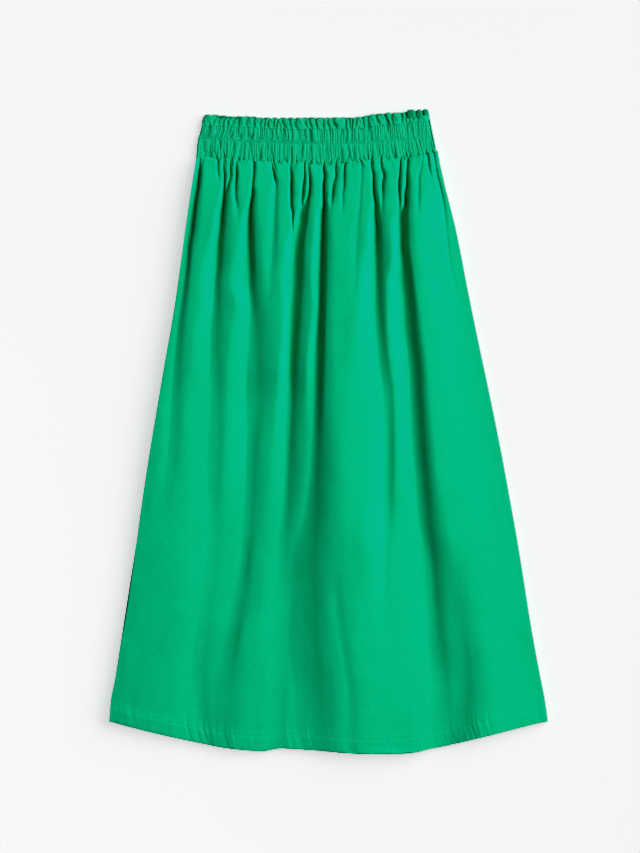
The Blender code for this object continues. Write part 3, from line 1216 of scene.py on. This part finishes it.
def stitches(name, material, path):
    """Short rounded threads, end to end along a path of points, joined in one mesh."""
    travelled = running_total(np.linalg.norm(np.diff(path, axis=0), axis=1))
    pitch = STITCH_LENGTH + STITCH_GAP
    starts = np.arange(STITCH_GAP, travelled[-1] - STITCH_LENGTH, pitch)
    first, last = (
        np.stack([np.interp(at, travelled, path[:, k]) for k in range(3)], -1)
        for at in (starts, starts + STITCH_LENGTH)
    )
    heading = last - first
    heading /= np.linalg.norm(heading, axis=1)[:, None]
    side = np.stack([-heading[:, 1], heading[:, 0], np.zeros(len(heading))], -1)
    side /= np.linalg.norm(side, axis=1)[:, None]
    over = np.cross(heading, side)
    turn = np.linspace(0, 2 * np.pi, STITCH_SIDES + 1)[:-1, None, None]
    spoke = np.cos(turn) * side + np.sin(turn) * over
    rings = [
        blend((first, last), along) + STITCH_RADIUS * width * spoke
        for along, width in STITCH_WIDTHS
    ]
    points = np.stack(rings).transpose(2, 0, 1, 3)  # stitch, ring, turn, coordinate
    vertices = points.reshape(-1, 3) * MM
    in_stitch = len(rings) * STITCH_SIDES
    faces = []
    for base in range(0, len(vertices), in_stitch):
        last_ring = base + in_stitch - STITCH_SIDES
        for ring in range(base, last_ring, STITCH_SIDES):
            for k in range(STITCH_SIDES):
                here, beside = ring + k, ring + (k + 1) % STITCH_SIDES
                faces.append((here, beside, beside + STITCH_SIDES, here + STITCH_SIDES))
        faces.append(tuple(base + k for k in reversed(range(STITCH_SIDES))))
        faces.append(tuple(last_ring + k for k in range(STITCH_SIDES)))
    mesh = bpy.data.meshes.new(name)
    mesh.from_pydata(vertices.tolist(), [], faces)
    lengths = (travelled[-1] * np.arange(len(vertices)) / len(vertices)) * MM
    return add_piece(name, mesh, material, np.stack([lengths, 0.2 * vertices[:, 2]], -1))


def hem_stitches(name, material, back):
    """The line of stitches round the hem, on the front or on the back."""
    grid = panel_grid(900, np.array([HEM_STITCHES]), -1)
    z = BACK_STITCH if back else front_surface(*grid) + 0.12
    clear_of_edges = slice(4, -4)
    return stitches(name, material, grid_points(*grid[:2], z)[0, clear_of_edges])


def band_stitches(material, back):
    """The lines of stitches across the waistband, on the front or on the back."""
    rows = []
    across = np.linspace(0.012, 0.99, 100 if back else 700)
    for name, (line, lift) in BAND_STITCHES.items():
        line = np.full_like(across, line)
        z = BACK_STITCH if back else BAND_UNDER + band_surface(across, line) + lift
        path = grid_points(*waist_point(across, line), z)
        rows.append(stitches("back_" + name if back else name, material, path))
    return rows


# -------- material

# Base colours. Those of the gathered cloth are paler: painted light, for the light that
# scatters between its pads.
COTTONS = {
    "panel_cotton": (0.001, 0.45, 0.241),
    "waistband_cotton": (0.012, 0.42, 0.230),
    "frill_cotton": (0.012, 0.42, 0.230),
    "sewing_thread": (0.004, 0.40, 0.22),
}


def shader_material(name, settings):
    """A material with settings made on its shader's own sockets, and its tree and shader."""
    material = bpy.data.materials.new(name)
    material.use_nodes = True
    shader = material.node_tree.nodes["Principled BSDF"]
    for socket, value in settings.items():
        shader.inputs[socket].default_value = value
    return material, material.node_tree, shader


def cotton(name, colour):
    """Plain-weave cotton in the cloth's own map: slubs, weave relief and a faint sheen."""
    settings = {
        "Roughness": 0.9,
        "Specular IOR Level": 0.08,
        "Sheen Weight": 0.05,
        "Sheen Roughness": 0.5,
        "Sheen Tint": (0.3, 1, 0.7, 1),
    }
    material, tree, shader = shader_material(name, settings)
    nodes, links = tree.nodes, tree.links
    place = nodes.new("ShaderNodeUVMap")
    place.uv_map = "cloth"

    def streaks(scale_x, scale_y, detail):
        mapping = nodes.new("ShaderNodeMapping")
        mapping.inputs["Scale"].default_value = (scale_x, scale_y, 1)
        noise = nodes.new("ShaderNodeTexNoise")
        noise.inputs["Scale"].default_value = 1
        noise.inputs["Detail"].default_value = detail
        links.new(place.outputs["UV"], mapping.inputs["Vector"])
        links.new(mapping.outputs["Vector"], noise.inputs["Vector"])
        return noise.outputs["Fac"]

    def maths(operation, a, b):
        node = nodes.new("ShaderNodeMath")
        node.operation = operation
        for socket, value in zip(node.inputs, (a, b)):
            if isinstance(value, float):
                socket.default_value = value
            else:
                links.new(value, socket)
        return node.outputs[0]

    across, along = 1400, 90  # changes to a metre, from thread to thread and along a thread
    slubs = maths("ADD", streaks(across, along, 2), streaks(along, across, 2))
    patches = streaks(28, 28, 3)
    shade = maths("ADD", maths("MULTIPLY", slubs, 0.75), maths("MULTIPLY", patches, 0.35))
    ramp = nodes.new("ShaderNodeValToRGB")
    dark, light = ramp.color_ramp.elements
    dark.position = 0.55
    dark.color = (*[c * 0.9 for c in colour], 1)
    light.color = (*[c * 1.08 for c in colour], 1)
    links.new(shade, ramp.inputs["Fac"])
    links.new(ramp.outputs["Color"], shader.inputs["Base Color"])

    bump = nodes.new("ShaderNodeBump")
    bump.inputs["Strength"].default_value = 0.12
    bump.inputs["Distance"].default_value = 0.0004
    links.new(slubs, bump.inputs["Height"])
    links.new(bump.outputs["Normal"], shader.inputs["Normal"])
    return material


# -------- stage

# The lamp's place, in degrees from the x axis towards the waist and up, and in metres.
KEY_AZIMUTH = 25
KEY_ELEVATION = 35
KEY_DISTANCE = 5
KEY_SPREAD = 68  # degrees that the lamp spans
KEY_POWER = 372
FILL = 0.09
FLOOR_REACH = 6  # metres
FLOOR_GLOW = 0.80
FLOOR_TONE = 0.28
FLOOR_FALL = 0.40  # how much the floor's own glow grows over a lamp's distance away from it
TONE_CURVE = ((0.30, 0.30), (0.36, 0.350), (0.45, 0.364), (0.60, 0.376), (0.80, 0.405))
TONE_TOP = 0.56  # what the curve makes of full white

# The photograph: its size and the frame's origin in pixels, and the millimetres in a pixel.
PHOTO_SIZE = (640, 853)
ORIGIN_PIXEL = (328.5, 431)
PIXEL = 1.35
SCALE_LEVEL = 8  # the height at which a pixel has that size


def key_direction():
    """From the skirt towards the lamp."""
    azimuth, elevation = math.radians(KEY_AZIMUTH), math.radians(KEY_ELEVATION)
    flat = math.cos(elevation)
    return Vector((flat * math.cos(azimuth), flat * math.sin(azimuth), math.sin(elevation)))


def lights():
    """One large soft lamp, high on the right, and an even fill from the room."""
    data = bpy.data.lights.new("key", "AREA")
    data.shape = "DISK"
    data.size = 2 * KEY_DISTANCE * math.tan(math.radians(KEY_SPREAD / 2))
    data.energy = KEY_POWER
    lamp = add_object("key", data)
    lamp.location = KEY_DISTANCE * key_direction()
    lamp.rotation_euler = key_direction().to_track_quat("Z", "Y").to_euler()
    world = bpy.data.worlds.new("room")
    world.use_nodes = True
    background = world.node_tree.nodes["Background"]
    background.inputs["Color"].default_value = (1, 1, 1, 1)
    background.inputs["Strength"].default_value = FILL
    bpy.context.scene.world = world


def floor():
    """A plain pale floor. Its own glow evens out the lamp's fall across it."""
    mesh = bpy.data.meshes.new("floor")
    signs = ((-1, -1), (1, -1), (1, 1), (-1, 1))
    corners = [(FLOOR_REACH * x, FLOOR_REACH * y, 0) for x, y in signs]
    mesh.from_pydata(corners, [], [(0, 1, 2, 3)])
    settings = {
        "Base Color": (FLOOR_TONE, FLOOR_TONE, FLOOR_TONE, 1),
        "Emission Color": (1, 1, 1, 1),
        "Roughness": 1,
        "Specular IOR Level": 0,
    }
    material, tree, shader = shader_material("floor", settings)
    nodes, links = tree.nodes, tree.links
    place = nodes.new("ShaderNodeTexCoord")
    along = nodes.new("ShaderNodeVectorMath")
    along.operation = "DOT_PRODUCT"
    flat = key_direction() * Vector((1, 1, 0))
    along.inputs[1].default_value = -FLOOR_FALL * flat / KEY_DISTANCE
    glow = nodes.new("ShaderNodeMath")
    glow.operation = "ADD"
    glow.inputs[1].default_value = FLOOR_GLOW
    links.new(place.outputs["Object"], along.inputs[0])
    links.new(along.outputs["Value"], glow.inputs[0])
    links.new(glow.outputs[0], shader.inputs["Emission Strength"])
    mesh.materials.append(material)
    add_object("floor", mesh)


def camera():
    """Straight above the skirt, as far up as it takes to frame what the photograph does."""
    data = bpy.data.cameras.new("camera")
    data.lens = 85
    data.sensor_width = 36
    data.clip_end = 20
    frame_height = PHOTO_SIZE[1] * PIXEL * MM
    distance = frame_height * data.lens / data.sensor_width
    x = (PHOTO_SIZE[0] / 2 - ORIGIN_PIXEL[0]) * PIXEL * MM
    y = (ORIGIN_PIXEL[1] - PHOTO_SIZE[1] / 2) * PIXEL * MM
    item = add_object("camera", data)
    item.location = (x, y, distance + SCALE_LEVEL * MM)
    bpy.context.scene.camera = item


def tones():
    """The photograph's tones: high contrast, with the brightest greens held down."""
    view = bpy.context.scene.view_settings
    view.view_transform = "Standard"
    view.look = "Very High Contrast"
    view.use_curve_mapping = True
    curve = view.curve_mapping.curves[3]
    for place in TONE_CURVE:
        curve.points.new(*place)
    curve.points[-1].location = (1.0, TONE_TOP)
    view.curve_mapping.update()


# -------- everything

# Each node's slot and what its cloth rests on, then its cut before it was gathered, as it
# shows: width and length in metres, and the area in square metres where it isn't a rectangle.
SHEETS = {
    "front_panel": ("panel_cotton", ["back_panel_cloth"], 0.68, 0.83, 0.50),
    "back_panel": ("panel_cotton", [], 0.60, 0.80, 0.40),
    "front_waistband": ("waistband_cotton", ["back_band_cloth"], 0.40, 0.05, None),
    "back_waistband": ("waistband_cotton", [], 0.32, 0.05, None),
    "front_frill": ("frill_cotton", ["back_frill_cloth"], 0.36, 0.018, None),
    "back_frill": ("frill_cotton", [], 0.34, 0.017, None),
}


def main():
    """Makes every piece, hangs it and its stitches under the root body in place of its frame
    part, and sets the stage.
    """
    panel, band, ruffle, thread = (cotton(*item) for item in COTTONS.items())
    pieces = {
        "front_panel": front_panel(panel),
        "back_panel": back_panel(panel),
        "front_waistband": front_band(band),
        "back_waistband": back_band(band),
        "front_frill": frill(
            "front_frill_cloth", ruffle, RUFFLES, UPPER_PADS, foot=4.8, notch=2.6, per_lobe=24
        ),
        "back_frill": frill(
            "back_frill_cloth", ruffle, BACK_RUFFLES, [], foot=1.6, notch=0.2, per_lobe=14
        ),
    }
    sewing = {
        "front_panel": [hem_stitches("hem_stitches", thread, back=False)],
        "back_panel": [hem_stitches("back_hem_stitches", thread, back=True)],
        "front_waistband": band_stitches(thread, back=False),
        "back_waistband": band_stitches(thread, back=True),
    }
    for node, (slot, rests_on, width, length, area) in SHEETS.items():
        piece, threads = pieces[node], sewing.get(node, [])
        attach(piece, "root")
        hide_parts(node)
        for row in threads:
            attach(row, "root")
    floor()
    lights()
    camera()
    tones()


main()
